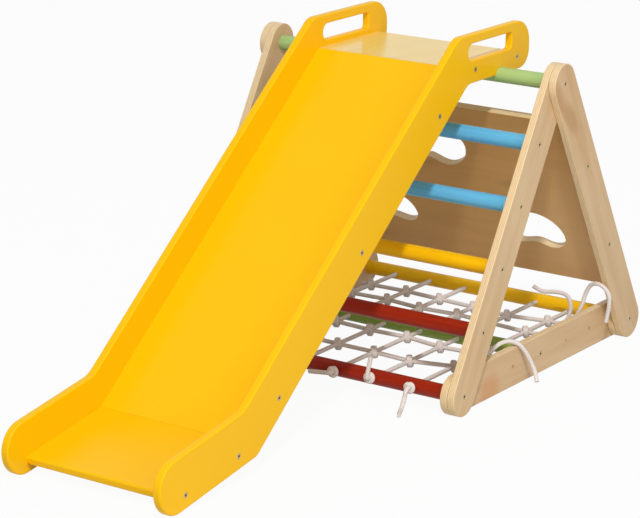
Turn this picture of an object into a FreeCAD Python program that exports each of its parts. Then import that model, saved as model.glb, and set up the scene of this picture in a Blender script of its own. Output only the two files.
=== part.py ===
import FreeCAD, Part
import math
import os

from FreeCAD import Vector

# Sizes are in millimetres. X runs across the frame, -Y is the slide's side and Z is up from the floor.

# Side frames: three equal plywood bars bolted into a triangle
ply = 18.0
bar_width = 90.0
bar_pitch = 725.0
beam_inner = 342.0
bar_edge = 2.5

# Rungs: round bars between the side frames
rung_dia = 35.0
leg_spaces = 5

# Climbing board between the rear legs
board_inset = 112.5
board_corner = 6.0
low_hold_width = 161.0
low_hold_height = 104.0
low_hold_out = 203.5
low_hold_drop = 467.0
high_hold_width = 178.0
high_hold_height = 113.0
high_hold_out = -11.0
high_hold_drop = 246.5

# Bolts with sunk heads and hexagon sockets
bolt_dia = 6.0
head_dia = 13.0
head_height = 4.5
head_sink = 0.4
socket_width = 5.0
socket_depth = 3.0
bolt_grip = 45.0

# Rope net at the height of the lower rungs
rope_dia = 10.0
rope_inset = 92.0
tie_dia = 23.0
front_knot_dia = 26.0
rear_knot_dia = 20.0
rear_knot_drop = 4.0
knot_stub = 5.0
left_end = 14.0
front_end = 42.0

# Slide hooked over the top rung
slide_out = 30.0
slide_width = 364.0
panel_depth = 114.0
handle_rise = 109.5
hook_front = 135.0
hook_rear = 128.0
bed_angle = 38.7
runout_angle = 9.2
runout_length = 260.0
platform_length = 246.0
board_lift = 29.0
bed_lift = 34.0
deck_rear = 93.0
panel_edge = 3.5
board_nose = 5.0
tail_round = 40.0
hook_round = 45.0
brow_round = 45.0
heel_round = 30.0
chute_round = 60.0
slot_length = 186.0
slot_height = 37.0
slot_round = 8.0
slot_ahead = 46.0
slot_lift = 70.0
deck_bolt_ahead = 107.5
bed_bolt_inset = 123.0
platform_bolt_rear = 42.0
platform_bolt_front = 26.0

# Clearances
bolt_clear = 0.05
head_clear = 0.15
notch_clear = 0.5
rope_clear = 0.3
rung_play = 0.2
mitre_gap = 0.3

# Rows of cross ropes: place of each row as a part of half the base, from the front rung's side to the rear
row_places = (-0.588, -0.223, 0.381, 0.623)
# How far each hand-tied knot lies from its row's line, from the left rope to the right one
tie_drift = (
    (0, 3, 0, -2, -10, 17),
    (4, 9, 0, 5, -13, -5),
    (6, 12, -2, 7, -4, -15),
    (6, 10, 2, -6, -17, 2),
)

# Outlines of the hand-holds, as parts of half the width and half the height
low_outline = (
    (-1.00, 0.37), (-0.86, -0.27), (-0.48, -0.75), (0.04, -1.00), (0.58, -0.79), (0.92, -0.25),
    (1.00, 0.37), (0.80, 0.86), (0.45, 1.00), (0.00, 0.81), (-0.60, 0.96), (-0.91, 0.73),
)
high_outline = (
    (1.00, -0.06), (0.93, -0.56), (0.63, -0.86), (0.12, -1.00), (-0.44, -0.86), (-0.87, -0.47), (-1.00, 0.10),
    (-0.87, 0.65), (-0.57, 0.82), (-0.24, 0.70), (0.03, 0.88), (0.33, 1.00), (0.64, 0.79), (0.89, 0.42),
)

# Derived levels and places
rung_radius = rung_dia / 2
rope_radius = rope_dia / 2
bolt_radius = bolt_dia / 2
bar_end = bar_width / 2
half_base = bar_pitch / 2
lean = math.radians(60)
foot_z = bar_end
apex_z = foot_z + bar_pitch * math.sin(lean)
beam_outer = beam_inner + ply
leg_outer = beam_outer + ply
rear_outer = leg_outer + ply

# Slide profile, first measured from the line under the top rung
slope = math.radians(bed_angle)
dip = math.radians(runout_angle)
nose_radius = panel_depth / 2
heel_z = nose_radius * (1 - math.cos(dip)) + runout_length * math.sin(dip)
heel_y = -hook_front - (apex_z - heel_z) / math.tan(slope)
nose_y = heel_y - runout_length * math.cos(dip) - nose_radius * math.sin(dip)
front_reach = nose_radius - nose_y
rear_reach = half_base + bar_end

# The origin is on the floor, half way between the slide's nose and the rear feet
apex_y = (front_reach - rear_reach) / 2
front_y = apex_y - half_base
rear_y = apex_y + half_base
apex = Vector(0, apex_y, apex_z)
front_foot = Vector(0, front_y, foot_z)
rear_foot = Vector(0, rear_y, foot_z)
rope_spacing = (beam_inner - rope_inset) / 2.5
rope_places = [(place - 2.5) * rope_spacing for place in range(6)]


def rounded_wire(corners):
    """Closed outline with a tangent arc of the given radius at each corner."""
    arcs = []
    for index, (corner, radius) in enumerate(corners):
        before = (corner - corners[index - 1][0]).normalize()
        after = (corners[(index + 1) % len(corners)][0] - corner).normalize()
        half_turn = before.getAngle(after) / 2
        cut = radius * math.tan(half_turn)
        inward = (after - before).normalize()
        middle = corner + inward * (radius / math.cos(half_turn) - radius)
        arcs.append((corner - before * cut, middle, corner + after * cut))
    edges = []
    for index, (start, middle, end) in enumerate(arcs):
        last = arcs[index - 1][2]
        if last.distanceToPoint(start) > 0.001:
            edges.append(Part.LineSegment(last, start).toShape())
        if start.distanceToPoint(end) > 0.001:
            edges.append(Part.Arc(start, middle, end).toShape())
    return Part.Wire(edges)


def soften(plate, radius):
    """Round the rim edges on both faces of a plate whose thickness runs along X."""
    rim = [edge for edge in plate.Edges if edge.BoundBox.XLength < 0.001]
    return plate.makeFillet(radius, rim)


def plate_of(wire, x_low):
    """Plywood plate from an outline in the YZ plane, its low face at x_low."""
    plate = Part.Face(wire).extrude(Vector(ply, 0, 0))
    plate.translate(Vector(x_low, 0, 0))
    return plate


def low_face(inner, side):
    """Low X of a plywood layer whose inner face is this far from the middle."""
    return inner if side > 0 else -inner - ply


def bar(inner, side, start, end):
    """Plywood bar with full-round ends about its two end bolts."""
    along = (end - start).normalize()
    across = Vector(0, -along.z, along.y)
    corners = [
        start - (along + across) * bar_end,
        end + (along - across) * bar_end,
        end + (along + across) * bar_end,
        start - (along - across) * bar_end,
    ]
    outline = rounded_wire([(corner, bar_end) for corner in corners])
    return soften(plate_of(outline, low_face(inner, side)), bar_edge)


def rod(radius, start, end):
    """Round rod from one point to another."""
    return Part.makeCylinder(radius, start.distanceToPoint(end), start, end - start)


def bolt(face_x, at, plies):
    """Bolt with its head sunk in the face at face_x, through some layers of plywood and into the next piece."""
    inward = Vector(-math.copysign(1, face_x), 0, 0)
    top = Vector(face_x, at.y, at.z) + inward * head_sink
    tip = Vector(face_x, at.y, at.z) + inward * (plies * ply + bolt_grip)
    head = rod(head_dia / 2, top, top + inward * head_height)
    corners = []
    for step in range(7):
        turn = math.radians(60 * step)
        reach = Vector(0, math.cos(turn), math.sin(turn)) * (socket_width / math.sqrt(3))
        corners.append(top + reach)
    socket = Part.Face(Part.makePolygon(corners)).extrude(inward * socket_depth)
    return head.fuse(rod(bolt_radius, top, tip)).cut(socket).removeSplitter()


def bolt_room(face_x, at, plies):
    """Space for a bolt: the recess for its head and the bore for its shank."""
    inward = Vector(-math.copysign(1, face_x), 0, 0)
    face = Vector(face_x, at.y, at.z)
    seat = face + inward * (head_sink + head_height)
    tip = face + inward * (plies * ply + bolt_grip + rung_play)
    recess = rod(head_dia / 2 + head_clear, face, seat)
    return recess.fuse(rod(bolt_radius + bolt_clear, face, tip))


def bored(shape, rooms):
    """Shape with the bolt spaces cut out of it."""
    return shape.cut(Part.makeCompound(rooms)).removeSplitter()


def rung(half_length, at, rooms):
    """Rung across the frame with its bolt bores."""
    bar_shape = rod(rung_radius, Vector(-half_length, at.y, at.z), Vector(half_length, at.y, at.z))
    return bored(bar_shape, rooms)


def roped(shape, at):
    """Rung with a hole along Y for each long rope."""
    holes = []
    for place in rope_places:
        start = Vector(place, at.y - rung_dia, at.z)
        holes.append(rod(rope_radius + rope_clear, start, start + Vector(0, 2 * rung_dia, 0)))
    return shape.cut(Part.makeCompound(holes))


def rope_tube(name, points):
    """Rope along straight runs joined by tangent arcs, a flat face at each end."""
    edges = []
    last = points[0]
    radii = []
    for before, corner, after in zip(points, points[1:], points[2:]):
        shorter = min(before.distanceToPoint(corner), corner.distanceToPoint(after))
        in_way = (corner - before).normalize()
        out_way = (after - corner).normalize()
        half_turn = in_way.getAngle(out_way) / 2
        cut = 0.45 * shorter
        radius = cut / math.tan(half_turn)
        radii.append(round(radius))
        start = corner - in_way * cut
        end = corner + out_way * cut
        inward = (out_way - in_way).normalize()
        middle = corner + inward * (radius / math.cos(half_turn) - radius)
        edges.append(Part.LineSegment(last, start).toShape())
        edges.append(Part.Arc(start, middle, end).toShape())
        last = end
    edges.append(Part.LineSegment(last, points[-1]).toShape())
    path = Part.Wire(edges)
    ring = Part.Circle(points[0], points[1] - points[0], rope_radius).toShape()
    tube = path.makePipeShell([Part.Wire([ring])], True, True)
    full = path.Length * math.pi * rope_radius**2
    print(name, "length", round(path.Length), "radii", radii, "volume", round(tube.Volume / full, 3))
    return tube


def line_meet(first, first_way, second, second_way):
    """Point in the YZ plane where two lines cross."""
    gap = second - first
    crossing = first_way.y * second_way.z - first_way.z * second_way.y
    reach = (gap.y * second_way.z - gap.z * second_way.y) / crossing
    return first + first_way * reach


nodes = {}

# Bolt places
sides = (("left", -1), ("right", 1))
leg_way = (front_foot - apex).normalize()
rear_way = (rear_foot - apex).normalize()
rung_step = bar_pitch / leg_spaces
rung_axes = [apex + leg_way * (rung_step * place) for place in range(1, int(round(leg_spaces)))]
middle_axis = Vector(0, apex_y, foot_z)
board_axes = [apex + rear_way * (bar_pitch * part / 3) for part in (1, 2)]
bolt_groups = {
    "corner_bolts": [(rear_outer, apex, 2), (leg_outer, front_foot, 2)],
    "rear_foot_bolts": [(rear_outer, rear_foot, 3)],
    "rung_bolts": [(leg_outer, axis, 1) for axis in rung_axes],
    "middle_rung_bolts": [(beam_outer, middle_axis, 1)],
    "board_bolts": [(rear_outer, axis, 1) for axis in board_axes],
}
rooms = {}
for group, places in bolt_groups.items():
    fasteners = []
    rooms[group] = []
    for face_x, at, plies in places:
        for side_name, side in sides:
            fasteners.append(bolt(side * face_x, at, plies))
            rooms[group].append(bolt_room(side * face_x, at, plies))
    nodes[group] = Part.makeCompound(fasteners)
feet_rooms = rooms["corner_bolts"] + rooms["rear_foot_bolts"]

# Side frames: beam inside, front leg in the middle layer, rear leg outside
for side_name, side in sides:
    beam = bar(beam_inner, side, front_foot, rear_foot)
    front_leg = bar(beam_outer, side, apex, front_foot)
    rear_leg = bar(leg_outer, side, apex, rear_foot)
    spacer_end = Vector(side * beam_outer, rear_y, foot_z)
    spacer = soften(rod(bar_end, spacer_end, spacer_end + Vector(side * ply, 0, 0)), bar_edge)
    nodes[side_name + "_beam"] = bored(beam, feet_rooms + rooms["middle_rung_bolts"])
    nodes[side_name + "_front_leg"] = bored(front_leg, rooms["corner_bolts"] + rooms["rung_bolts"])
    nodes[side_name + "_rear_leg"] = bored(rear_leg, feet_rooms + rooms["board_bolts"])
    nodes[side_name + "_rear_spacer"] = bored(spacer, rooms["rear_foot_bolts"])

# Rungs; the top one turns on its bolts
nodes["top_rung"] = rung(beam_outer - rung_play, apex, rooms["corner_bolts"])
rung_names = ("upper_blue_rung", "lower_blue_rung", "front_yellow_rung", "upper_red_rung")
for name, axis in zip(rung_names, rung_axes):
    nodes[name] = rung(beam_outer, axis, rooms["rung_bolts"])
nodes["lower_red_rung"] = roped(rung(beam_inner, front_foot, rooms["corner_bolts"]), front_foot)
nodes["middle_green_rung"] = roped(rung(beam_inner, middle_axis, rooms["middle_rung_bolts"]), middle_axis)
nodes["rear_yellow_rung"] = roped(rung(beam_inner, rear_foot, rooms["rear_foot_bolts"]), rear_foot)


def hold_cutter(outline, out, drop, width, height, mirror):
    """Hand-hold opening, a smooth closed curve through the board's thickness."""
    points = []
    for across, down in outline:
        points.append(Vector(mirror * (out + across * width / 2), drop + down * height / 2, -ply))
    curve = Part.BSplineCurve()
    curve.interpolate(points, PeriodicFlag=True)
    return Part.Face(Part.Wire([curve.toShape()])).extrude(Vector(0, 0, 2 * ply))


# Climbing board, drawn flat with its length down the rear legs, then leaned
board_ends = (board_inset, bar_pitch - board_inset)
board_corners = [
    (Vector(-leg_outer, board_ends[0], -ply / 2), board_corner),
    (Vector(leg_outer, board_ends[0], -ply / 2), board_corner),
    (Vector(leg_outer, board_ends[1], -ply / 2), board_corner),
    (Vector(-leg_outer, board_ends[1], -ply / 2), board_corner),
]
board = Part.Face(rounded_wire(board_corners)).extrude(Vector(0, 0, ply))
board = board.makeFillet(bar_edge, [edge for edge in board.Edges if edge.BoundBox.ZLength < 0.001])
for mirror in (-1, 1):
    board = board.cut(
        hold_cutter(low_outline, low_hold_out, low_hold_drop, low_hold_width, low_hold_height, mirror)
    )
board = board.cut(
    hold_cutter(high_outline, high_hold_out, high_hold_drop, high_hold_width, high_hold_height, 1)
)
board.Placement = FreeCAD.Placement(apex, FreeCAD.Rotation(Vector(1, 0, 0), -math.degrees(lean)))
nodes["climbing_board"] = bored(board, rooms["board_bolts"])

# Long ropes through the three lower rungs, a stopper knot at each end
front_knot_y = front_y - rung_radius - rope_clear - front_knot_dia / 2
rear_knot_y = rear_y + rung_radius + rope_clear + rear_knot_dia / 2
front_tail_way = Vector(0.08, -0.55, -0.83).normalize()
front_ways = (
    Vector(0, 0, -1),
    Vector(0, 0, -1),
    Vector(0, 0, -1),
    Vector(-1, -0.05, -0.15).normalize(),
    Vector(0.1, 0, 1).normalize(),
    front_tail_way,
)
front_ends = (left_end, left_end, left_end, front_end, front_end, knot_stub)
for index, place in enumerate(rope_places):
    front_knot = Vector(place, front_knot_y, foot_z)
    rear_knot = Vector(place, rear_knot_y, foot_z - rear_knot_drop)
    rope = rod(rope_radius, front_knot, Vector(place, rear_knot_y, foot_z))
    rope = rope.fuse(Part.makeSphere(front_knot_dia / 2, front_knot))
    rope = rope.fuse(Part.makeSphere(rear_knot_dia / 2, rear_knot))
    end = front_knot + front_ways[index] * (front_knot_dia / 2 + front_ends[index])
    rope = rope.fuse(rod(rope_radius, front_knot + front_ways[index] * rope_radius, end))
    nodes["long_rope_" + str(index + 1)] = rope.removeSplitter()
front_tail_start = end

# Cross ropes, each tied round every long rope
tie_radius = tie_dia / 2
row_ends = []
for row, row_place in enumerate(row_places):
    ties = []
    for place, drift in zip(rope_places, tie_drift[row]):
        ties.append(Vector(place, apex_y + row_place * half_base + drift, foot_z))
    pieces = []
    bores = []
    for tie in ties:
        pieces.append(Part.makeSphere(tie_radius, tie))
        half_bore = Vector(0, tie_dia, 0)
        bores.append(rod(rope_radius + rope_clear, tie - half_bore, tie + half_bore))
    for first, second in zip(ties, ties[1:]):
        inset = (second - first).normalize() * (rope_radius + 2)
        pieces.append(rod(rope_radius, first + inset, second - inset))
    outward = Vector(1, 0, 0)
    left_tip = ties[0] - outward * (tie_radius + left_end)
    pieces.append(rod(rope_radius, ties[0] - outward * (rope_radius + 2), left_tip))
    row_end = ties[-1] + outward * (tie_radius + knot_stub)
    pieces.append(rod(rope_radius, ties[-1] + outward * (rope_radius + 2), row_end))
    row_ends.append(row_end)
    cross = pieces[0].multiFuse(pieces[1:])
    nodes["cross_rope_" + str(row + 1)] = cross.cut(Part.makeCompound(bores)).removeSplitter()

# Free rope tails: over the beam to the floor, curled back above the net, over the beam and down, and in front
beam_top = bar_width
first = row_ends[0]
nodes["first_tail"] = rope_tube("first_tail", [
    first,
    first + Vector(30, 0, 0),
    Vector(beam_inner - 20, first.y + 8, beam_top - 22),
    Vector(beam_inner - 11, first.y + 32, beam_top + 7),
    Vector(beam_inner, first.y + 68, beam_top + 16),
    Vector(beam_outer + 1, first.y + 88, beam_top + 9),
    Vector(beam_outer + 14, first.y + 101, beam_top - 13),
    Vector(beam_outer + 23, first.y + 113, beam_top - 40),
    Vector(beam_outer + 33, first.y + 116, beam_top - 63),
    Vector(beam_outer + 42, first.y + 108, rope_dia),
])
third = row_ends[2]
nodes["second_tail"] = rope_tube("second_tail", [
    third,
    third + Vector(30, 0, 0),
    Vector(beam_inner - 28, third.y + 23, foot_z + 5),
    Vector(beam_inner - 28, third.y + 60, foot_z + 13),
    Vector(beam_inner - 36, third.y + 98, foot_z + 19),
    Vector(beam_inner - 49, third.y + 133, foot_z + 22),
    Vector(beam_inner - 62, third.y + 161, foot_z + 31),
    Vector(beam_inner - 80, third.y + 175, foot_z + 51),
    Vector(beam_inner - 110, third.y + 167, foot_z + 55),
    Vector(beam_inner - 136, third.y + 159, foot_z + 51),
    Vector(beam_inner - 150, third.y + 155, foot_z + 56),
    Vector(beam_inner - 162, third.y + 152, foot_z + 63),
])
fourth = row_ends[3]
nodes["third_tail"] = rope_tube("third_tail", [
    fourth,
    fourth + Vector(28, 0, 0),
    Vector(beam_inner - 24, fourth.y + 5, beam_top - 30),
    Vector(beam_inner - 12, fourth.y + 16, beam_top + 3),
    Vector(beam_inner - 7, fourth.y + 22, beam_top + 36),
    Vector(beam_inner + 10, fourth.y + 17, beam_top + 62),
    Vector(beam_outer + 20, fourth.y + 10, beam_top + 67),
    Vector(beam_outer + 43, fourth.y + 10, beam_top + 48),
    Vector(beam_outer + 43, fourth.y + 13, beam_top + 20),
    Vector(beam_outer + 39, fourth.y + 15, beam_top - 1),
    Vector(beam_outer + 35, fourth.y + 15, beam_top - 24),
])
nodes["front_tail"] = rope_tube("front_tail", [
    front_tail_start,
    front_tail_start + front_tail_way * 26,
    Vector(front_tail_start.x + 10, front_tail_start.y - 36, rope_radius + 1.5),
    Vector(front_tail_start.x + 20, front_tail_start.y - 54, rope_radius + 1),
])

# Slide profile in place: way down the bed and way along the run-out, each with its upward normal
level = Vector(0, -1, 0)
bed_way = Vector(0, -math.cos(slope), -math.sin(slope))
bed_up = Vector(0, -math.sin(slope), math.cos(slope))
runout_way = Vector(0, -math.cos(dip), -math.sin(dip))
runout_up = Vector(0, -math.sin(dip), math.cos(dip))
hook = apex + level * hook_front
heel = Vector(0, apex_y + heel_y, heel_z)
tail = apex - level * hook_rear
nose_end = heel + runout_way * (runout_length + nose_radius)
up = Vector(0, 0, 1)
brow = line_meet(apex + up * handle_rise, level, hook + bed_up * panel_depth, bed_way)
chute = line_meet(hook + bed_up * panel_depth, bed_way, heel + runout_up * panel_depth, runout_way)
panel_wire = rounded_wire([
    (tail, tail_round),
    (tail + up * handle_rise, handle_rise / 2),
    (brow, brow_round),
    (chute, chute_round),
    (nose_end + runout_up * panel_depth, nose_radius),
    (nose_end, nose_radius),
    (heel, heel_round),
    (hook, hook_round),
])
slot_middle = apex + level * slot_ahead + up * slot_lift
slot_corners = []
for along, rise in ((-1, -1), (1, -1), (1, 1), (-1, 1)):
    corner = slot_middle + level * (along * slot_length / 2) + up * (rise * slot_height / 2)
    slot_corners.append((corner, slot_height / 2 if along > 0 else slot_round))


def board_joint(first, second, offset):
    """Point where two boards meet, this far above their middle planes."""
    start, way, upward, lift = first
    other_start, other_way, other_upward, other_lift = second
    return line_meet(
        start + upward * (lift + offset), way, other_start + other_upward * (other_lift + offset), other_way
    )


def slide_board(first, second, third, fourth, nose):
    """Board between the panels from its four corners in the YZ plane, its first end rounded."""
    outline = rounded_wire([(first, nose), (second, nose), (third, 0), (fourth, 0)])
    board_shape = Part.Face(outline).extrude(Vector(slide_width, 0, 0))
    board_shape.translate(Vector(slide_out - slide_width / 2, 0, 0))
    return board_shape


half_ply = ply / 2
deck_line = (apex, level, up, board_lift)
bed_line = (hook, bed_way, bed_up, bed_lift)
runout_line = (heel, runout_way, runout_up, board_lift)
brow_under = board_joint(deck_line, bed_line, -half_ply)
brow_over = board_joint(deck_line, bed_line, half_ply)
heel_under = board_joint(bed_line, runout_line, -half_ply)
heel_over = board_joint(bed_line, runout_line, half_ply)
heel_middle = board_joint(bed_line, runout_line, 0)
deck_end = apex - level * deck_rear
platform_end = heel_middle + runout_way * platform_length
deck_ends = (deck_end + up * (board_lift - half_ply), deck_end + up * (board_lift + half_ply))
deck = slide_board(deck_ends[0], deck_ends[1], brow_over, brow_under, board_nose)
bed_gap = bed_way * mitre_gap
bed = slide_board(brow_under + bed_gap, brow_over + bed_gap, heel_over - bed_gap, heel_under - bed_gap, 0)
platform_ends = (platform_end + runout_up * half_ply, platform_end - runout_up * half_ply)
platform = slide_board(platform_ends[0], platform_ends[1], heel_under, heel_over, board_nose)

# Slide bolts: two through the deck, three through the bed and two through the run-out board on each side
slide_bolt_axes = [
    apex - level * (hook_rear - handle_rise / 2) + up * board_lift,
    apex + level * deck_bolt_ahead + up * board_lift,
    hook + bed_way * bed_bolt_inset + bed_up * bed_lift,
    (hook + heel) * 0.5 + bed_up * bed_lift,
    heel - bed_way * bed_bolt_inset + bed_up * bed_lift,
    heel_middle + runout_way * platform_bolt_rear,
    platform_end - runout_way * platform_bolt_front,
]
slide_rooms = []
slide_bolts = []
for side_name, side in sides:
    for axis in slide_bolt_axes:
        face_x = side * (slide_width / 2 + ply)
        shift = Vector(slide_out, 0, 0)
        room = bolt_room(face_x, axis, 1)
        fastener = bolt(face_x, axis, 1)
        room.translate(shift)
        fastener.translate(shift)
        slide_rooms.append(room)
        slide_bolts.append(fastener)
nodes["slide_bolts"] = Part.makeCompound(slide_bolts)
nodes["slide_deck"] = bored(deck, slide_rooms)
nodes["slide_bed"] = bored(bed, slide_rooms)
nodes["slide_platform"] = bored(platform, slide_rooms)

# Side panels with their handle slots and the half-round notches over the top rung
for side_name, side in sides:
    x_low = slide_out + low_face(slide_width / 2, side)
    panel = plate_of(panel_wire, x_low).cut(plate_of(rounded_wire(slot_corners), x_low))
    panel = soften(panel, panel_edge)
    notch_start = Vector(x_low - ply, apex_y, apex_z)
    notch = rod(rung_radius + notch_clear, notch_start, notch_start + Vector(3 * ply, 0, 0))
    nodes["slide_" + side_name + "_panel"] = bored(panel.cut(notch), slide_rooms)

os.makedirs("parts", exist_ok=True)
for name, shape in nodes.items():
    shape.exportStep("parts/" + name + ".step")
    if not shape.isValid():
        print(name, "is not valid")
print(len(nodes), "pieces, top rung", [round(value, 2) for value in apex])
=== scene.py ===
import logging
import math
from dataclasses import dataclass, field
from enum import Enum
from typing import Any, Optional, Sequence, Union

import bpy
from mathutils import Matrix, Vector


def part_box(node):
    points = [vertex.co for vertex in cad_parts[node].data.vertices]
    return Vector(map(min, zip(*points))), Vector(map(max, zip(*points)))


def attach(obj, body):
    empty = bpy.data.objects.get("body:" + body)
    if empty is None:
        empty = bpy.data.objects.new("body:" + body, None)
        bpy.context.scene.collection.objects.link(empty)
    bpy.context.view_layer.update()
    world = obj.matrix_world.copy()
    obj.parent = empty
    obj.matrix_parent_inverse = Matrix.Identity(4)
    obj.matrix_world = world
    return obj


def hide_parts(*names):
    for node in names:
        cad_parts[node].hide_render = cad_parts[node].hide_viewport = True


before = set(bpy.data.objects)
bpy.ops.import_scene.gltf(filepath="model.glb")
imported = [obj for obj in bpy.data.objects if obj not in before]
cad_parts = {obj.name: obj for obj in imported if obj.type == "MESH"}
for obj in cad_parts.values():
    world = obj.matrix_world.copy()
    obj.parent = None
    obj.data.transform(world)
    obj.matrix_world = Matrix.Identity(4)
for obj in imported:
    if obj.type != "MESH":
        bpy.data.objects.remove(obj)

LOG = logging.getLogger("climbing_frame")

Triple = tuple[float, float, float]
Points = list[Vector]
Operand = Union["Value", float]

UP = Vector((0.0, 0.0, 1.0))
RIGHT = Vector((1.0, 0.0, 0.0))
FORWARD = Vector((0.0, -1.0, 0.0))
BACKWARD = Vector((0.0, 1.0, 0.0))
WHITE: Triple = (1.0, 1.0, 1.0)
NOTHING = 1e-6

# Places of the Mix node's colour sockets, which share their names with its other sockets.
MIX_FACTOR = 0
MIX_FIRST = 6
MIX_SECOND = 7
MIX_RESULT = 2


def srgb(code: str) -> Triple:
    """Turn a six-digit screen colour into linear light.

    Args:
        code: Hexadecimal red, green and blue, as in "FFC61A".

    Returns:
        Linear red, green and blue from 0 to 1.
    """
    parts = [int(code[place : place + 2], 16) / 255 for place in (0, 2, 4)]
    return tuple(p / 12.92 if p <= 0.04045 else ((p + 0.055) / 1.055) ** 2.4 for p in parts)


class Value:
    """A shader value that takes part in Python arithmetic."""

    def __init__(self, sheet: "NodeSheet", socket: bpy.types.NodeSocket) -> None:
        """Wrap one output socket of a node sheet."""
        self.sheet = sheet
        self.socket = socket

    def maths(self, operation: str, *others: Operand) -> "Value":
        """Add one Math node that starts from this value.

        Args:
            operation: Blender's name of the operation.
            others: The second and third operands, if it has them.

        Returns:
            The node's result.
        """
        node = self.sheet.node("ShaderNodeMath", {"operation": operation}, [self, *others])
        return Value(self.sheet, node.outputs[0])

    def __add__(self, other: Operand) -> "Value":
        """Sum."""
        return self.maths("ADD", other)

    __radd__ = __add__

    def __sub__(self, other: Operand) -> "Value":
        """Difference."""
        return self.maths("SUBTRACT", other)

    def __rsub__(self, other: float) -> "Value":
        """Difference from a number."""
        return self.maths("MULTIPLY", -1.0) + other

    def __mul__(self, other: Operand) -> "Value":
        """Product."""
        return self.maths("MULTIPLY", other)

    __rmul__ = __mul__

    def __abs__(self) -> "Value":
        """Size without sign."""
        return self.maths("ABSOLUTE")

    def step(self, low: float, high: float) -> "Value":
        """Smooth step.

        Args:
            low: Where the result is still 0.
            high: Where the result reaches 1.

        Returns:
            The stepped value.
        """
        limits = {"Value": self, "From Min": low, "From Max": high}
        node = self.sheet.node("ShaderNodeMapRange", {"interpolation_type": "SMOOTHSTEP"}, limits)
        return Value(self.sheet, node.outputs[0])


class NodeSheet:
    """A node tree, built node by node."""

    def __init__(
        self,
        tree: bpy.types.NodeTree,
        owner: Union[bpy.types.Material, bpy.types.World, None] = None,
    ) -> None:
        """Start an empty tree.

        Args:
            tree: The tree to fill.
            owner: The material or world that it belongs to, if it has one.
        """
        self.tree = tree
        self.owner = owner
        tree.nodes.clear()

    @classmethod
    def of(cls, owner: Union[bpy.types.Material, bpy.types.World]) -> "NodeSheet":
        """Start the sheet of a material or world."""
        owner.use_nodes = True
        return cls(owner.node_tree, owner)

    @classmethod
    def paint(cls, name: str) -> "NodeSheet":
        """Start the sheet of a new material of this name."""
        return cls.of(bpy.data.materials.new(name))

    def node(
        self,
        kind: str,
        settings: Optional[dict[str, Any]] = None,
        inputs: Union[dict[Any, Any], Sequence[Any], None] = None,
    ) -> bpy.types.Node:
        """Add a node.

        Args:
            kind: Blender's node type.
            settings: Properties that are set first.
            inputs: Values or links, by socket name or place, or all in socket order.

        Returns:
            The new node.
        """
        made = self.tree.nodes.new(kind)
        for key, value in (settings or {}).items():
            setattr(made, key, value)
        pairs = inputs.items() if isinstance(inputs, dict) else enumerate(inputs or ())
        for key, value in pairs:
            self.feed(made.inputs[key], value)
        return made

    def feed(self, socket: bpy.types.NodeSocket, value: Any) -> None:
        """Set a socket, or link a value to it.

        Args:
            socket: The input socket.
            value: A number, vector, colour or word, or the value or output socket to link.
        """
        if isinstance(value, Value):
            self.tree.links.new(value.socket, socket)
        elif isinstance(value, bpy.types.NodeSocket):
            self.tree.links.new(value, socket)
        elif socket.type == "RGBA":
            socket.default_value = (*value, 1.0)
        else:
            socket.default_value = value

    def place(self, output: str = "Object") -> tuple[Value, Value, Value]:
        """Split the surface's own place, or its "Normal", into its X, Y and Z values."""
        return self.split(self.node("ShaderNodeTexCoord").outputs[output])

    def split(self, vector: bpy.types.NodeSocket) -> tuple[Value, Value, Value]:
        """Split a vector socket into its X, Y and Z values."""
        parts = self.node("ShaderNodeSeparateXYZ", None, [vector])
        return tuple(Value(self, socket) for socket in parts.outputs)

    def blend(self, factor: Operand, first: Any, second: Any) -> bpy.types.NodeSocket:
        """Mix two colours.

        Args:
            factor: 0 for the first colour, 1 for the second.
            first: Colour or socket.
            second: Colour or socket.

        Returns:
            The mixed colour's socket.
        """
        settings = {"data_type": "RGBA", "clamp_factor": True}
        colours = {MIX_FACTOR: factor, MIX_FIRST: first, MIX_SECOND: second}
        return self.node("ShaderNodeMix", settings, colours).outputs[MIX_RESULT]

    def bump(self, height: Value, depth: float, strength: float) -> bpy.types.NodeSocket:
        """Surface relief of a depth in metres, as a normal."""
        sizes = {"Height": height, "Distance": depth, "Strength": strength}
        return self.node("ShaderNodeBump", None, sizes).outputs[0]

    def finish(self, **sockets: Any) -> bpy.types.Material:
        """Close the tree with one surface shader.

        Args:
            sockets: Shader inputs, with underscores for spaces.

        Returns:
            The finished material.
        """
        inputs = {key.replace("_", " "): value for key, value in sockets.items()}
        surface = self.node("ShaderNodeBsdfPrincipled", None, inputs)
        self.node("ShaderNodeOutputMaterial", None, {"Surface": surface.outputs[0]})
        return self.owner

    def seen(self) -> Value:
        """Tell which rays show a background as it is.

        Returns:
            1 for rays to the camera, or by way of a mirror or glass, and otherwise 0.
        """
        ray = self.node("ShaderNodeLightPath").outputs
        shown = Value(self, ray["Is Camera Ray"]).maths("MAXIMUM", ray["Is Glossy Ray"])
        return shown.maths("MAXIMUM", ray["Is Transmission Ray"])


class Lay(Enum):
    """How a plywood piece lies: the way its grain runs and the way its layers are stacked."""

    BEAM = ((0.0, 1.0, 0.0), (1.0, 0.0, 0.0))
    FRONT_LEG = ((0.0, 0.5, 0.8660254), (1.0, 0.0, 0.0))
    REAR_LEG = ((0.0, -0.5, 0.8660254), (1.0, 0.0, 0.0))
    BOARD = ((1.0, 0.0, 0.0), (0.0, 0.8660254, 0.5))
    DECK = ((0.0, 1.0, 0.0), (0.0, 0.0, 1.0))

    @property
    def grain(self) -> Vector:
        """Way along the grain."""
        return Vector(self.value[0])

    @property
    def stack(self) -> Vector:
        """Way through the layers."""
        return Vector(self.value[1])


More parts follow.
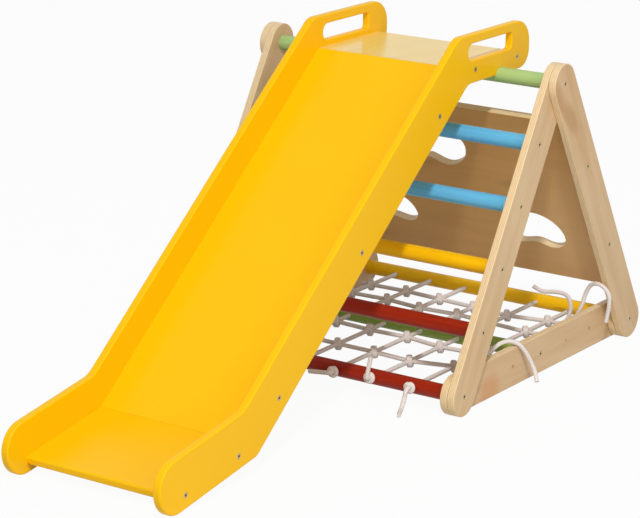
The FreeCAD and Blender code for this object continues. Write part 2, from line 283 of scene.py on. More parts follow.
def along(way: Vector, parts: tuple[Value, Value, Value]) -> Value:
    """Distance along a fixed direction.

    Args:
        way: Unit vector.
        parts: X, Y and Z values.

    Returns:
        Their dot product, without the parts that are nothing.
    """
    terms = [part * weight for part, weight in zip(parts, way) if abs(weight) > NOTHING]
    total = terms[0]
    for term in terms[1:]:
        total = total + term
    return total


@dataclass(frozen=True)
class Pattern:
    """A noise on a surface, stretched along three ways, and the band of it that tints a colour."""

    fine: Triple
    low: float = 0.0
    high: float = 1.0
    share: float = 1.0
    detail: float = 2.0
    rough: float = 0.5
    bend: float = 0.0
    shift: float = 0.0

    def noise(self, sheet: NodeSheet, parts: tuple[Value, Value, Value]) -> Value:
        """Lay the noise over a surface.

        Args:
            sheet: The finish's node sheet.
            parts: Three distances on the surface.

        Returns:
            The noise, from 0 to 1.
        """
        places = [part * fine for part, fine in zip(parts, self.fine)]
        if self.shift:
            places[0] = places[0] + self.shift
        sizes = {
            "Vector": sheet.node("ShaderNodeCombineXYZ", None, places).outputs[0],
            "Scale": 1.0,
            "Detail": self.detail,
            "Roughness": self.rough,
            "Distortion": self.bend,
        }
        made = sheet.node("ShaderNodeTexNoise", {"noise_dimensions": "3D"}, sizes)
        return Value(sheet, made.outputs["Fac"])

    def tint(self, noise: Value) -> Value:
        """Share of the second colour that the noise brings in."""
        return noise.step(self.low, self.high) * self.share


@dataclass(frozen=True)
class Mark:
    """A spot in a veneer: its place along and across the grain, its reach, share, tint and plain core."""

    along: float
    across: float
    reach: float
    share: float
    tint: str = "B98450"
    core: float = 0.3

    def cover(self, length: Value, width: Value) -> Value:
        """How much of the spot's colour shows.

        Args:
            length: Place along the grain.
            width: Place across the grain.

        Returns:
            The spot's share in its core, and 0 beyond its reach.
        """
        ahead, beside = length - self.along, width - self.across
        gap = (ahead * ahead + beside * beside).maths("SQRT")
        return (1 - gap.step(self.reach * self.core, self.reach)) * self.share


@dataclass(frozen=True)
class Plywood:
    """Clear-varnished birch plywood with its layers showing on the edges."""

    name: str
    lay: Lay
    pale: str = "DFC095"
    warm: str = "CBA371"
    knot: str = "B98450"
    edge_pale: str = "ECD4A9"
    edge_dark: str = "C99F68"
    layer: float = 0.0045
    layer_share: float = 0.34
    face_turn: tuple[float, float] = (0.62, 0.80)
    roughness: float = 0.42
    pore_roughness: float = 0.10
    relief: float = 0.0002
    relief_strength: float = 0.35
    streak_relief: float = 0.6
    pore_relief: float = 0.4
    gloss: float = 0.35
    marks: tuple[Mark, ...] = ()
    streaks: Pattern = Pattern((2.6, 34.0, 3.0), 0.30, 0.72, 0.55, detail=4.0, rough=0.55, bend=0.35)
    clouds: Pattern = Pattern((3.5, 9.0, 4.0), 0.35, 0.70, 0.40)
    knots: Pattern = Pattern((5.0, 11.0, 2.0), 0.68, 0.80, 0.55, detail=1.0, rough=0.4, shift=3.7)
    pores: Pattern = Pattern((40.0, 620.0, 90.0), 0.60, 0.78, 0.16)
    fibres: Pattern = Pattern((60.0, 60.0, 300.0), 0.35, 0.75, 0.24, rough=0.6)

    def material(self) -> bpy.types.Material:
        """Build the finish.

        Returns:
            Veneer where a face looks along the stack, and striped layers on the edges.
        """
        sheet = NodeSheet.paint(self.name)
        parts = sheet.place()
        length = along(self.lay.grain, parts)
        width = along(self.lay.grain.cross(self.lay.stack), parts)
        depth = along(self.lay.stack, parts)
        lie = (length, width, depth)
        streaks = self.streaks.noise(sheet, lie)
        pores = self.pores.noise(sheet, lie)
        tone = self.streaks.tint(streaks) + self.clouds.tint(self.clouds.noise(sheet, lie))
        veneer = sheet.blend(tone, srgb(self.pale), srgb(self.warm))
        veneer = sheet.blend(self.knots.tint(self.knots.noise(sheet, lie)), veneer, srgb(self.knot))
        veneer = sheet.blend(self.pores.tint(pores), veneer, srgb(self.knot))
        for mark in self.marks:
            veneer = sheet.blend(mark.cover(length, width), veneer, srgb(mark.tint))
        wave = (depth * (2 * math.pi / self.layer)).maths("SINE")
        stripes = wave.step(0.0, 1.0) * self.layer_share
        stripes = stripes + self.fibres.tint(self.fibres.noise(sheet, lie))
        edge = sheet.blend(stripes, srgb(self.edge_pale), srgb(self.edge_dark))
        facing = abs(along(self.lay.stack, sheet.place("Normal")))
        base = sheet.blend(facing.step(*self.face_turn), edge, veneer)
        height = streaks * self.streak_relief + pores * self.pore_relief
        relief = sheet.bump(height, self.relief, self.relief_strength)
        rough = pores * self.pore_roughness + self.roughness
        return sheet.finish(Base_Color=base, Roughness=rough, Normal=relief, Specular_IOR_Level=self.gloss)


@dataclass(frozen=True)
class StainedRung:
    """Round wooden bar in a thin satin colour, a little grain showing along it."""

    name: str
    pale: str
    deep: str
    roughness: float = 0.38
    streak_roughness: float = 0.12
    relief: float = 0.00025
    relief_strength: float = 0.35
    gloss: float = 0.22
    streaks: Pattern = Pattern((3.0, 120.0, 120.0), 0.32, 0.72, 0.70, detail=4.0, rough=0.55, bend=0.2)
    pores: Pattern = Pattern((30.0, 900.0, 900.0), 0.55, 0.75, 0.20)

    def material(self) -> bpy.types.Material:
        """Build the finish.

        Returns:
            The stain, its grain along X.
        """
        sheet = NodeSheet.paint(self.name)
        parts = sheet.place()
        streaks = self.streaks.noise(sheet, parts)
        tone = self.streaks.tint(streaks) + self.pores.tint(self.pores.noise(sheet, parts))
        base = sheet.blend(tone, srgb(self.pale), srgb(self.deep))
        relief = sheet.bump(streaks, self.relief, self.relief_strength)
        rough = streaks * self.streak_roughness + self.roughness
        return sheet.finish(Base_Color=base, Roughness=rough, Normal=relief, Specular_IOR_Level=self.gloss)


@dataclass(frozen=True)
class Lacquer:
    """Smooth opaque satin paint on plywood."""

    name: str
    colour: str
    shade: str
    roughness: float = 0.28
    cloud_roughness: float = 0.10
    relief: float = 0.00006
    relief_strength: float = 0.25
    gloss: float = 0.15
    clouds: Pattern = Pattern((5.0, 5.0, 5.0), 0.30, 0.75, 0.50)
    peel: Pattern = Pattern((420.0, 420.0, 420.0))

    def material(self) -> bpy.types.Material:
        """Build the finish.

        Returns:
            The paint, with a faint orange-peel relief.
        """
        sheet = NodeSheet.paint(self.name)
        parts = sheet.place()
        clouds = self.clouds.noise(sheet, parts)
        base = sheet.blend(self.clouds.tint(clouds), srgb(self.colour), srgb(self.shade))
        relief = sheet.bump(self.peel.noise(sheet, parts), self.relief, self.relief_strength)
        rough = clouds * self.cloud_roughness + self.roughness
        return sheet.finish(Base_Color=base, Roughness=rough, Normal=relief, Specular_IOR_Level=self.gloss)


@dataclass(frozen=True)
class BraidedRope:
    """Soft pale braided rope; the braid follows the rope's own length and rim."""

    name: str
    pale: str = "F1E9E4"
    deep: str = "D5C9C3"
    strands: int = 8
    pitch: float = 0.016
    crest: tuple[float, float] = (-0.2, 0.9)
    groove_painted_shade_share: float = 0.55
    relief: float = 0.0006
    relief_strength: float = 0.5
    strand_relief: float = 0.8
    fibre_relief: float = 0.2
    roughness: float = 0.85
    gloss: float = 0.15
    fibres: Pattern = Pattern((900.0, 900.0, 900.0), 0.40, 0.70, 0.25, rough=0.6)

    def material(self) -> bpy.types.Material:
        """Build the finish.

        Returns:
            Two crossing sets of strands, with painted shade darkening the grooves between them.
        """
        sheet = NodeSheet.paint(self.name)
        run = sheet.node("ShaderNodeAttribute", {"attribute_name": "rope_run"}).outputs["Fac"]
        rim = sheet.node("ShaderNodeAttribute", {"attribute_name": "rope_rim"}).outputs["Vector"]
        rim_x, rim_y, _ = sheet.split(rim)
        pairs = self.strands / 2
        turn = rim_y.maths("ARCTAN2", rim_x) * pairs
        travel = Value(sheet, run) * (math.pi * pairs / self.pitch)
        weave = (turn + travel).maths("SINE").maths("MAXIMUM", (turn - travel).maths("SINE"))
        fibres = self.fibres.noise(sheet, sheet.place())
        # Painted shade: the grooves between the strands are darkened towards the deep colour; the fibre
        # noise adds the rope's own uneven tone.
        tone = (1 - weave.step(*self.crest)) * self.groove_painted_shade_share + self.fibres.tint(fibres)
        base = sheet.blend(tone, srgb(self.pale), srgb(self.deep))
        height = weave * self.strand_relief + fibres * self.fibre_relief
        relief = sheet.bump(height, self.relief, self.relief_strength)
        return sheet.finish(
            Base_Color=base, Roughness=self.roughness, Normal=relief, Specular_IOR_Level=self.gloss
        )


@dataclass(frozen=True)
class Steel:
    """Bright zinc on a bolt's head, or the shaded inside of its socket."""

    name: str
    colour: str
    roughness: float
    metallic: float
    scuff_roughness: float = 0.15
    scuffs: Pattern = Pattern((300.0, 300.0, 300.0), rough=0.6)

    def material(self) -> bpy.types.Material:
        """Build the finish.

        Returns:
            The metal, a little uneven in its gloss.
        """
        sheet = NodeSheet.paint(self.name)
        rough = self.scuffs.noise(sheet, sheet.place()) * self.scuff_roughness + self.roughness
        return sheet.finish(Base_Color=srgb(self.colour), Metallic=self.metallic, Roughness=rough)


def dress(node: str, *materials: bpy.types.Material) -> None:
    """Give a solid's own mesh its finishes.

    Args:
        node: Name of the solid.
        materials: Its finishes, the main one first.
    """
    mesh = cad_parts[node].data
    mesh.materials.clear()
    for material in materials:
        mesh.materials.append(material)
    LOG.info("dressed %s", node)


@dataclass
class SideFrames:
    """The two plywood triangles and their spacers; one beam has spots in its veneer."""

    sides: tuple[str, str] = ("left", "right")
    marked: str = "right_beam"
    marks: tuple[Mark, ...] = (
        Mark(0.2936, -0.0480, 0.0065, 1.00),
        Mark(0.5355, -0.0476, 0.0055, 0.70),
        Mark(0.6454, -0.0489, 0.0065, 1.00),
        Mark(0.1920, -0.0140, 0.0600, 0.75, "D29A66"),
    )
    lays: dict[str, Lay] = field(
        default_factory=lambda: {
            "beam": Lay.BEAM,
            "front_leg": Lay.FRONT_LEG,
            "rear_leg": Lay.REAR_LEG,
            "rear_spacer": Lay.BEAM,
        }
    )

    def build(self) -> None:
        """Dress every bar, with its grain along its own length, and then the beam with spots."""
        finishes = {}
        for lay in dict.fromkeys(self.lays.values()):
            finishes[lay] = Plywood("plywood_" + lay.name.lower(), lay).material()
        for side in self.sides:
            for piece, lay in self.lays.items():
                dress(side + "_" + piece, finishes[lay])
        spotted = Plywood("plywood_" + self.marked, Lay.BEAM, marks=self.marks)
        dress(self.marked, spotted.material())


@dataclass
class Rungs:
    """The eight round bars, by colour."""

    stains: dict[StainedRung, tuple[str, ...]] = field(
        default_factory=lambda: {
            StainedRung("green_stain", "B0CE88", "9CC074"): ("top_rung",),
            # Painted shade: the middle green rung has its own darker stain, partly its own olive tone and
            # partly the shade it lies in under the slide and net.
            StainedRung("olive_stain_with_painted_shade", "9AB454", "88A244"): ("middle_green_rung",),
            StainedRung("blue_stain", "6EC4F0", "5AB2E8"): ("upper_blue_rung", "lower_blue_rung"),
            StainedRung("yellow_stain", "FFC806", "FBBC00"): ("front_yellow_rung", "rear_yellow_rung"),
            StainedRung("red_stain", "A42A10", "8A1B06"): ("upper_red_rung", "lower_red_rung"),
        }
    )

    def build(self) -> None:
        """Dress each rung in its colour."""
        for stain, names in self.stains.items():
            material = stain.material()
            for name in names:
                dress(name, material)


@dataclass
class ClimbingBoard:
    """The leaning board with its hand-holds; its veneer carries painted light: darker and warmer overall,
    partly its own tone and partly painted shade, and paler towards the right under a painted pool of light.
    """

    node: str = "climbing_board"
    finish: Plywood = Plywood(
        "plywood_board",
        Lay.BOARD,
        # Painted shade: the darker, warmer veneer tones stand partly for the shade and warm bounce light on
        # the board's face.
        pale="DFAD69",
        warm="D3A15B",
        # Painted light: a broad pale patch makes the board's right part lighter, where more light falls.
        marks=(Mark(0.400, -0.100, 0.330, 0.60, "EEC58E"),),
    )

    def build(self) -> None:
        """Dress the board."""
        dress(self.node, self.finish.material())


@dataclass
class Fasteners:
    """All bolts; the inside of each hexagon socket is in shade."""

    groups: tuple[str, ...] = (
        "corner_bolts",
        "rear_foot_bolts",
        "rung_bolts",
        "middle_rung_bolts",
        "board_bolts",
        "slide_bolts",
    )
    zinc: Steel = Steel("zinc_steel", "C0AF8E", 0.45, 1.0)
    shade: Steel = Steel("socket_shade", "3A2E24", 0.6, 0.0)
    socket_reach: float = 0.00295
    merge: float = 0.02

    def build(self) -> None:
        """Dress the heads, and darken the faces inside their sockets."""
        finishes = (self.zinc.material(), self.shade.material())
        for group in self.groups:
            dress(group, *finishes)
            self.darken(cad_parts[group].data)

    def axes(self, mesh: bpy.types.Mesh) -> list[tuple[float, float]]:
        """Find each bolt's axis from the middles of its vertices in the YZ plane.

        Args:
            mesh: The group's mesh.

        Returns:
            One place across the axis for each bolt.
        """
        bins: dict[tuple[int, int], list[tuple[float, float]]] = {}
        for vertex in mesh.vertices:
            key = (round(vertex.co.y / self.merge), round(vertex.co.z / self.merge))
            near = [other for other in bins if abs(other[0] - key[0]) <= 1 and abs(other[1] - key[1]) <= 1]
            bins.setdefault(near[0] if near else key, []).append((vertex.co.y, vertex.co.z))
        found = []
        for places in bins.values():
            ys = [place[0] for place in places]
            zs = [place[1] for place in places]
            found.append(((min(ys) + max(ys)) / 2, (min(zs) + max(zs)) / 2))
        return found

    def darken(self, mesh: bpy.types.Mesh) -> None:
        """Give the faces inside the sockets the shaded finish.

        Args:
            mesh: The group's mesh.
        """
        axes = self.axes(mesh)
        for face in mesh.polygons:
            middle = face.center
            reach = min(math.hypot(middle.y - y, middle.z - z) for y, z in axes)
            face.material_index = 1 if reach < self.socket_reach else 0


class Run(Enum):
    """How a line goes: straight from point to point, or smooth, with the points as its controls."""

    STRAIGHT = "POLY"
    SMOOTH = "NURBS"


def line_object(run: Run, points: Points) -> bpy.types.Object:
    """Make a line of one open spline.

    Args:
        run: How it goes along its points.
        points: Its points.

    Returns:
        The line's object, in the scene.
    """
    curve = bpy.data.curves.new("rope_line", "CURVE")
    curve.dimensions = "3D"
    spline = curve.splines.new(run.value)
    spline.points.add(len(points) - 1)
    for point, place in zip(spline.points, points):
        point.co = (*place, 1.0)
    line = bpy.data.objects.new("rope_line", curve)
    bpy.context.scene.collection.objects.link(line)
    return line


def mesh_from_line(line: bpy.types.Object) -> bpy.types.Mesh:
    """Turn a line into a plain mesh, and remove the line.

    Args:
        line: The line's object, with its modifiers.

    Returns:
        The mesh that it makes.
    """
    graph = bpy.context.evaluated_depsgraph_get()
    mesh = bpy.data.meshes.new_from_object(line.evaluated_get(graph), depsgraph=graph)
    curve = line.data
    line.modifiers.clear()
    bpy.data.objects.remove(line)
    bpy.data.curves.remove(curve)
    return mesh


def smooth_line(route: Points, fineness: int = 8) -> Points:
    """Read a rope's line from the NURBS spline that its route controls.

    Args:
        route: The rope's points, the spline's control points.
        fineness: Points read for each control point.

    Returns:
        Points along the spline, from end to end.
    """
    guide = line_object(Run.SMOOTH, route)
    spline = guide.data.splines[0]
    spline.order_u = 3
    spline.use_endpoint_u = True
    spline.resolution_u = fineness
    mesh = mesh_from_line(guide)
    line = [vertex.co.copy() for vertex in mesh.vertices]
    bpy.data.meshes.remove(mesh)
    return line


class RopeMaker:
    """Lays a round rope along a line with a Geometry Nodes tree."""

    def __init__(self, material: bpy.types.Material) -> None:
        """Build the tree once for every rope of one finish.

        Args:
            material: The rope's finish.
        """
        self.material = material
        self.tree = bpy.data.node_groups.new("rope_along_line", "GeometryNodeTree")
        face = self.tree.interface
        face.new_socket("Line", in_out="INPUT", socket_type="NodeSocketGeometry")
        self.radius = face.new_socket("Rope radius", in_out="INPUT", socket_type="NodeSocketFloat")
        self.spacing = face.new_socket("Ring spacing", in_out="INPUT", socket_type="NodeSocketFloat")
        self.sides = face.new_socket("Sides", in_out="INPUT", socket_type="NodeSocketInt")
        self.finish = face.new_socket("Finish", in_out="INPUT", socket_type="NodeSocketMaterial")
        face.new_socket("Rope", in_out="OUTPUT", socket_type="NodeSocketGeometry")
        self.wire()

    def wire(self) -> None:
        """Link the tree: even rings, a round section, its length and rim as attributes, and the finish."""
        sheet = NodeSheet(self.tree)
        given = sheet.node("NodeGroupInput").outputs
        rings = {"Curve": given["Line"], "Length": given["Ring spacing"]}
        even = sheet.node("GeometryNodeResampleCurve", {"mode": "LENGTH"}, rings).outputs["Curve"]
        length = sheet.node("GeometryNodeSplineParameter").outputs["Length"]
        line = self.keep(sheet, even, "rope_run", "FLOAT", length)
        section = {"Resolution": given["Sides"], "Radius": given["Rope radius"]}
        ring = sheet.node("GeometryNodeCurvePrimitiveCircle", {"mode": "RADIUS"}, section).outputs["Curve"]
        place = sheet.node("GeometryNodeInputPosition").outputs[0]
        rim = self.keep(sheet, ring, "rope_rim", "FLOAT_VECTOR", place)
        sweep = {"Curve": line, "Profile Curve": rim, "Fill Caps": True}
        tube = sheet.node("GeometryNodeCurveToMesh", None, sweep).outputs["Mesh"]
        smooth = sheet.node("GeometryNodeSetShadeSmooth", None, {"Geometry": tube}).outputs["Geometry"]
        real = sheet.node("GeometryNodeRealizeInstances", None, {"Geometry": smooth}).outputs["Geometry"]
        coat = {"Geometry": real, "Material": given["Finish"]}
        rope = sheet.node("GeometryNodeSetMaterial", None, coat).outputs["Geometry"]
        sheet.node("NodeGroupOutput", None, {"Rope": rope})

    def keep(
        self,
        sheet: NodeSheet,
        geometry: bpy.types.NodeSocket,
        name: str,
        kind: str,
        value: bpy.types.NodeSocket,
    ) -> bpy.types.NodeSocket:
        """Store a value on every point.

        Args:
            sheet: The tree's sheet.
            geometry: The points.
            name: The attribute's name.
            kind: Its data type.
            value: What is stored.

        Returns:
            The points with their attribute.
        """
        settings = {"data_type": kind, "domain": "POINT"}
        stored = {"Geometry": geometry, "Name": name, "Value": value}
        return sheet.node("GeometryNodeStoreNamedAttribute", settings, stored).outputs["Geometry"]

    def lay(
        self, name: str, line: Points, radius: float, spacing: float = 0.002, sides: int = 14
    ) -> bpy.types.Object:
        """Lay one rope.

        Args:
            name: The piece's name.
            line: Points of its centre line.
            radius: The rope's radius.
            spacing: Distance between rings.
            sides: Sides of its round section.

        Returns:
            A plain mesh object at the origin.
        """
        guide = line_object(Run.STRAIGHT, line)
        modifier = guide.modifiers.new("rope", "NODES")
        modifier.node_group = self.tree
        modifier[self.radius.identifier] = radius
        modifier[self.spacing.identifier] = spacing
        modifier[self.sides.identifier] = sides
        modifier[self.finish.identifier] = self.material
        mesh = mesh_from_line(guide)
        mesh.name = name
        rope = bpy.data.objects.new(name, mesh)
        bpy.context.scene.collection.objects.link(rope)
        return rope


def rope_turns(
    middle: Vector, first: Vector, second: Vector, turn: float, slip: Vector, turns: int, corners: int = 8
) -> Points:
    """Turns of rope side by side.

    Args:
        middle: Middle of the turns.
        first: Way from the middle to the start.
        second: Way a quarter turn on.
        turn: Radius of the rope's centre line.
        slip: How far the last turn's end lies from the first one's start.
        turns: Number of turns.
        corners: Control points of one turn.

    Returns:
        Control points round the turns.
    """
    reach = turn / math.cos(math.pi / corners)
    steps = corners * turns
    points = []
    for step in range(steps + 1):
        angle = step * 2 * math.pi / corners
        out = first * math.cos(angle) + second * math.sin(angle)
        points.append(middle + out * reach + slip * (step / steps - 0.5))
    return points


@dataclass(frozen=True)
class Hitch:
    """Tie of a cross rope: in to the long rope, twice round the crossing and away."""

    turn: float = 0.0098
    width: float = 0.010
    turns: int = 2
    way: Triple = (0.45, -0.893, 0.0)
    lead: float = 0.022
    tuck: float = 0.005

    def keys(self, middle: Vector, before: Vector, after: Vector) -> Points:
        """Control points of one tie.

        Args:
            middle: Middle of the knot.
            before: Way in.
            after: Way out.

        Returns:
            Points from straight rope to straight rope.
        """
        near = Vector(self.way).normalized()
        slip = UP.cross(near) * self.width
        keys = [middle - before * self.lead, middle - before * self.tuck]
        keys += rope_turns(middle, -near, UP, self.turn, slip, self.turns)
        return keys + [middle + after * self.tuck, middle + after * self.lead]


@dataclass(frozen=True)
class Stopper:
    """Stopper knot beyond a rung: one turn round the rope, then the end through the middle and away."""

    turn: float
    lead: float = 0.024
    neck: float = 0.012
    seat: float = 0.004
    tuck: float = 0.003
    rise: float = 0.005
    bend_rise: float = 0.0065
    bend_out: float = 0.007
    droop_share: float = 0.7
    droop_rise: float = 0.002

    def keys(self, hole: Vector, middle: Vector, face: Vector, tip: Vector) -> Points:
        """Control points of one knot.

        Args:
            hole: Place on the axis of the rung's hole, level with the knot.
            middle: Middle of the knot, a little to one side of the hole's axis.
            face: Way from the rung to the knot.
            tip: Where the short end stops.

        Returns:
            Points from the rung to the short end.
        """
        out = (tip - middle).normalized()
        seat = face * self.seat
        keys = [hole - face * self.lead, hole - face * self.neck]
        keys += rope_turns(middle - seat, UP, UP.cross(face), self.turn, seat, 1)
        keys += [middle - face * self.tuck, middle + face * self.rise]
        keys.append(middle + face * self.bend_rise + out * self.bend_out)
        return keys + [middle.lerp(tip, self.droop_share) + face * self.droop_rise, tip]


@dataclass(frozen=True)
class ShortEnd:
    """A knot's short end: its way and length, and the knot's place to the right of its hole and above."""

    way: Triple
    length: float
    right: float = 0.0
    above: float = 0.0

    @property
    def reach(self) -> Vector:
        """From the hole to the end's tip."""
        return Vector(self.way).normalized() * self.length

    @property
    def shift(self) -> Vector:
        """From the hole to the knot's middle."""
        return Vector((self.right, 0.0, self.above))


@dataclass(frozen=True)
class Tail:
    """Free end of a cross rope: its solid, its row and its route, with Y counted from the row's last tie."""

    node: str
    row: int
    route: tuple[Triple, ...]


@dataclass
class RopeNet:
    """Six long ropes through the lower rungs, four cross ropes tied round them, and the free tails."""

    finish: BraidedRope = BraidedRope("braided_rope")
    radius: float = 0.005
    spacing: float = 0.1
    half_base: float = 0.3625
    height: float = 0.045
    front_knot: float = 0.3933
    rear_knot: float = 0.3903
    rear_drop: float = 0.004
    row_left: float = 0.0255
    row_right: float = 0.0165
    hitch: Hitch = Hitch()
    front_stopper: Stopper = Stopper(turn=0.0088)
    rear_stopper: Stopper = Stopper(turn=0.0052)
    rear_end: ShortEnd = ShortEnd((0.0, -0.15, -1.0), 0.015)
    front_ends: tuple[ShortEnd, ...] = (
        ShortEnd((0.0, -0.15, -1.0), 0.027),
        ShortEnd((0.0, -0.15, -1.0), 0.027, right=0.002, above=-0.002),
        ShortEnd((0.0, -0.15, -1.0), 0.027, right=-0.002, above=0.001),
        ShortEnd((-1.0, -0.05, -0.15), 0.055, right=0.004),
        ShortEnd((0.1, 0.0, 1.0), 0.055, above=0.005),
        ShortEnd((0.08, -0.55, -0.83), 0.0195, right=0.004, above=0.003),
    )
    rows: tuple[float, ...] = (-0.588, -0.223, 0.381, 0.623)
    drift: tuple[tuple[float, ...], ...] = (
        (0.000, 0.003, 0.000, -0.002, -0.010, 0.017),
        (0.004, 0.009, 0.000, 0.005, -0.013, -0.005),
        (0.006, 0.012, -0.002, 0.007, -0.004, -0.015),
        (0.006, 0.010, 0.002, -0.006, -0.017, 0.002),
    )
    tails: tuple[Tail, ...] = (
        Tail("first_tail", 0, (
            (0.2665, 0.000, 0.045), (0.2965, 0.000, 0.045), (0.322, 0.008, 0.068), (0.331, 0.032, 0.097),
            (0.342, 0.068, 0.106), (0.361, 0.088, 0.099), (0.374, 0.101, 0.077), (0.383, 0.113, 0.050),
            (0.393, 0.116, 0.027), (0.402, 0.108, 0.010),
        )),
        Tail("second_tail", 2, (
            (0.2665, 0.000, 0.045), (0.2965, 0.000, 0.045), (0.314, 0.023, 0.050), (0.314, 0.060, 0.058),
            (0.306, 0.098, 0.064), (0.293, 0.133, 0.067), (0.280, 0.161, 0.076), (0.262, 0.175, 0.096),
            (0.232, 0.167, 0.100), (0.206, 0.159, 0.096), (0.192, 0.155, 0.101), (0.180, 0.152, 0.108),
        )),
        Tail("third_tail", 3, (
            (0.2665, 0.000, 0.045), (0.2945, 0.000, 0.045), (0.318, 0.005, 0.060), (0.330, 0.016, 0.093),
            (0.335, 0.022, 0.126), (0.352, 0.017, 0.152), (0.380, 0.010, 0.157), (0.403, 0.010, 0.138),
            (0.403, 0.013, 0.110), (0.399, 0.015, 0.089), (0.395, 0.015, 0.066),
        )),
    )
    front_tail: str = "front_tail"
    front_tail_start: float = 0.018
    front_tail_run: float = 0.026
    front_tail_route: tuple[Triple, ...] = ((0.010, -0.036, 0.0065), (0.020, -0.054, 0.006))

    def __post_init__(self) -> None:
        """Take the line under the top rung from the rung itself, and space the long ropes evenly."""
        low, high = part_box("top_rung")
        self.apex_y = (low.y + high.y) / 2
        half = (len(self.front_ends) - 1) / 2
        self.columns = [(place - half) * self.spacing for place in range(len(self.front_ends))]

    def front_hole(self, column: int) -> Vector:
        """Place on a front hole's axis, level with its knot."""
        return Vector((self.columns[column], self.apex_y - self.front_knot, self.height))

    def rear_hole(self, column: int) -> Vector:
        """Place on a rear hole's axis, level with its knot."""
        return Vector((self.columns[column], self.apex_y + self.rear_knot, self.height))

    def tie(self, row: int, column: int) -> Vector:
        """Middle of one tie."""
        line = self.apex_y + self.rows[row] * self.half_base + self.drift[row][column]
        return Vector((self.columns[column], line, self.height))

    def build(self) -> None:
        """Lay every rope and tail."""
        maker = RopeMaker(self.finish.material())
        for column in range(len(self.columns)):
            self.put(maker, "long_rope_" + str(column + 1), smooth_line(self.long_route(column)))
        for row in range(len(self.rows)):
            self.put(maker, "cross_rope_" + str(row + 1), smooth_line(self.cross_route(row)))
        for tail in self.tails:
            start = Vector((0.0, self.tie(tail.row, -1).y, 0.0))
            self.put_tail(maker, tail.node, [Vector(point) + start for point in tail.route])
        self.put_tail(maker, self.front_tail, self.front_route())

    def long_route(self, column: int) -> Points:
        """Route of a long rope.

        Args:
            column: Its place from the left.

        Returns:
            Control points from the rear knot's short end to the front knot's.
        """
        front = self.front_hole(column)
        end = self.front_ends[column]
        hole = self.rear_hole(column)
        rear = hole - UP * self.rear_drop
        keys = self.rear_stopper.keys(hole, rear, BACKWARD, rear + self.rear_end.reach)
        keys.reverse()
        return keys + self.front_stopper.keys(front, front + end.shift, FORWARD, front + end.reach)

    def cross_route(self, row: int) -> Points:
        """Route of a cross rope.

        Args:
            row: Its place from the front.

        Returns:
            Control points from its left end through every tie to its right end.
        """
        ties = [self.tie(row, column) for column in range(len(self.columns))]
        ways = [(after - before).normalized() for before, after in zip(ties, ties[1:])]
        keys = []
        for middle, before, after in zip(ties, [RIGHT] + ways, ways + [RIGHT]):
            keys += self.hitch.keys(middle, before, after)
        keys[0] = ties[0] - RIGHT * self.row_left
        keys[-1] = ties[-1] + RIGHT * self.row_right
        return keys

    def front_route(self) -> Points:
        """Route of the tail that goes on from the last front knot.

        Returns:
            Points from the knot to the floor.
        """
        way = Vector(self.front_ends[-1].way).normalized()
        start = self.front_hole(-1) + way * self.front_tail_start
        route = [start, start + way * self.front_tail_run]
        return route + [Vector((start.x + x, start.y + y, z)) for x, y, z in self.front_tail_route]

    def put(self, maker: RopeMaker, node: str, line: Points) -> bpy.types.Object:
        """Lay a rope on the frame in place of its solid.

        Args:
            maker: What lays the rope.
            node: Name of the solid.
            line: Points of the rope's centre line.

        Returns:
            The laid rope.
        """
        rope = maker.lay(node + "_laid", line, self.radius)
        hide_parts(node)
        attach(rope, "frame")
        LOG.info("laid %s", node)
        return rope

    def put_tail(self, maker: RopeMaker, node: str, route: Points) -> None:
        """Args:
            maker: What lays the rope.
            node: Name of the solid.
            route: The tail's control points.
        """
        line = smooth_line(route)
        tail = self.put(maker, node, line)
        2 * self.radius


@dataclass
class Slide:
    """The hook-on slide: painted panels, bed and run-out, and a bare wooden deck whose veneer is tinted
    yellow, partly its own tone and partly painted reflection of the yellow panels round it.
    """

    painted: tuple[str, ...] = ("slide_left_panel", "slide_right_panel", "slide_bed", "slide_platform")
    deck: str = "slide_deck"
    paint: Lacquer = Lacquer("yellow_lacquer", "FBC205", "FABE03")
    # Painted reflection: the deck's yellow tint stands partly for the yellow light that the panels throw on
    # it.
    bare: Plywood = Plywood(
        "plywood_deck", Lay.DECK, pale="F5D576", warm="F0CD6B", roughness=0.18, gloss=0.25
    )

    def build(self) -> None:
        """Dress the slide's boards."""
        paint = self.paint.material()
        for name in self.painted:
            dress(name, paint)
        dress(self.deck, self.bare.material())


@dataclass(frozen=True)
class Viewpoint:
    """The photograph's camera, found by fitting the bars, rungs and bolts.

    The angles are in degrees, the focal length and the width in the photograph's pixels.
    """

    azimuth: float = 33.9674
    elevation: float = 15.9077
    roll: float = 0.8348
    focal: float = 2646.98
    width: float = 640.0
    sensor: float = 36.0
    place: Triple = (3.13243, -4.59718, 1.88743)

    def build(self) -> None:
        """Make the camera."""
        azimuth = math.radians(self.azimuth)
        elevation = math.radians(self.elevation)
        roll = math.radians(self.roll)
        level = math.cos(elevation)
        back = Vector((math.sin(azimuth) * level, -math.cos(azimuth) * level, math.sin(elevation)))
        right = Vector((math.cos(azimuth), math.sin(azimuth), 0.0))
        up = back.cross(right)
        turned_right = right * math.cos(roll) + up * math.sin(roll)
        turned_up = up * math.cos(roll) - right * math.sin(roll)
        data = bpy.data.cameras.new("viewpoint")
        data.sensor_width = self.sensor
        data.lens = self.focal / self.width * self.sensor
        camera = bpy.data.objects.new("viewpoint", data)
        bpy.context.scene.collection.objects.link(camera)
        turn = Matrix((turned_right, turned_up, back)).transposed().to_4x4()
        camera.matrix_world = Matrix.Translation(self.place) @ turn
        bpy.context.scene.camera = camera


@dataclass(frozen=True)
class Lamp:
    """One soft square studio lamp."""

    name: str
    place: Triple
    size: float
    power: float
    target: Triple = (0.0, 0.1, 0.3)

    def build(self) -> None:
        """Hang the lamp and aim it."""
        data = bpy.data.lights.new(self.name, "AREA")
        data.size = self.size
        data.energy = self.power
        lamp = bpy.data.objects.new(self.name, data)
        bpy.context.scene.collection.objects.link(lamp)
        lamp.location = self.place
        aim = Vector(self.target) - Vector(self.place)
        lamp.rotation_euler = aim.to_track_quat("-Z", "Y").to_euler()


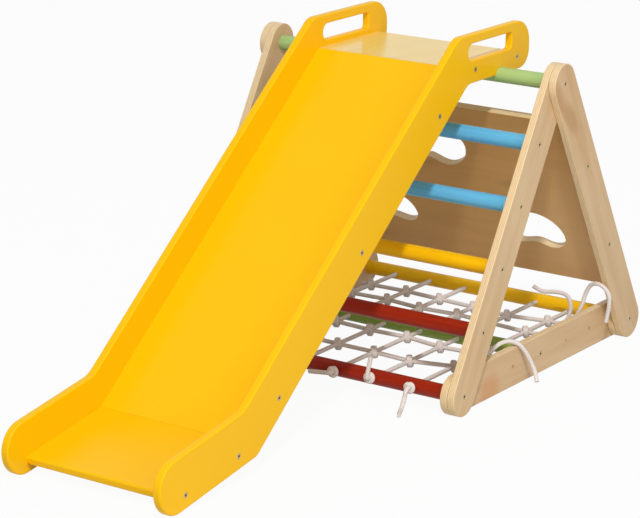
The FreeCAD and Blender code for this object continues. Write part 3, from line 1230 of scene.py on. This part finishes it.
@dataclass
class Studio:
    """White floor, even daylight, a small key lamp at the front right and a wide lamp beside it."""

    floor_size: float = 60.0
    daylight: float = 0.44
    white: float = 0.95
    matt: float = 0.66
    lamps: tuple[Lamp, ...] = (
        Lamp("key", (3.20, -4.30, 6.14), 0.40, 335.0),
        Lamp("side", (3.15, -1.90, 1.60), 2.50, 30.0),
    )

    def build(self) -> None:
        """Make the stage and its light."""
        for lamp in self.lamps:
            lamp.build()
        bpy.context.scene.world = self.sky()
        half = self.floor_size / 2
        corners = [(-half, -half, 0), (half, -half, 0), (half, half, 0), (-half, half, 0)]
        mesh = bpy.data.meshes.new("floor")
        mesh.from_pydata(corners, [], [(0, 1, 2, 3)])
        mesh.materials.append(self.floor_finish())
        floor = bpy.data.objects.new("floor", mesh)
        bpy.context.scene.collection.objects.link(floor)

    def sky(self) -> bpy.types.World:
        """Make the world's light.

        Returns:
            Plain white where it is seen, and an even daylight on everything else.
        """
        sheet = NodeSheet.of(bpy.data.worlds.new("daylight"))
        even = sheet.node("ShaderNodeBackground", None, {"Color": WHITE, "Strength": self.daylight})
        plain = sheet.node("ShaderNodeBackground", None, {"Color": WHITE, "Strength": 1.0})
        layers = [sheet.seen(), even.outputs[0], plain.outputs[0]]
        mixed = sheet.node("ShaderNodeMixShader", None, layers)
        sheet.node("ShaderNodeOutputWorld", None, {"Surface": mixed.outputs[0]})
        return sheet.owner

    def floor_finish(self) -> bpy.types.Material:
        """Make a white floor that keeps a light shadow.

        Returns:
            Mostly plain white where it is seen, and matt to everything else.
        """
        sheet = NodeSheet.paint("white_floor")
        matt = sheet.node("ShaderNodeBsdfDiffuse", None, {"Color": (self.matt, self.matt, self.matt)})
        plain = sheet.node("ShaderNodeEmission", None, {"Color": WHITE, "Strength": 1.0})
        layers = [sheet.seen() * self.white, matt.outputs[0], plain.outputs[0]]
        mixed = sheet.node("ShaderNodeMixShader", None, layers)
        sheet.node("ShaderNodeOutputMaterial", None, {"Surface": mixed.outputs[0]})
        return sheet.owner


def main() -> None:
    """Build every sub-assembly in order, then the camera and the stage."""
    logging.basicConfig(level=logging.INFO, format="%(message)s")
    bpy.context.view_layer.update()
    for assembly in (
        SideFrames(),
        Rungs(),
        ClimbingBoard(),
        Fasteners(),
        RopeNet(),
        Slide(),
        Viewpoint(),
        Studio(),
    ):
        assembly.build()
        LOG.info("built %s", type(assembly).__name__)
    bpy.context.scene.view_settings.view_transform = "Standard"


if __name__ == "__main__":
    main()
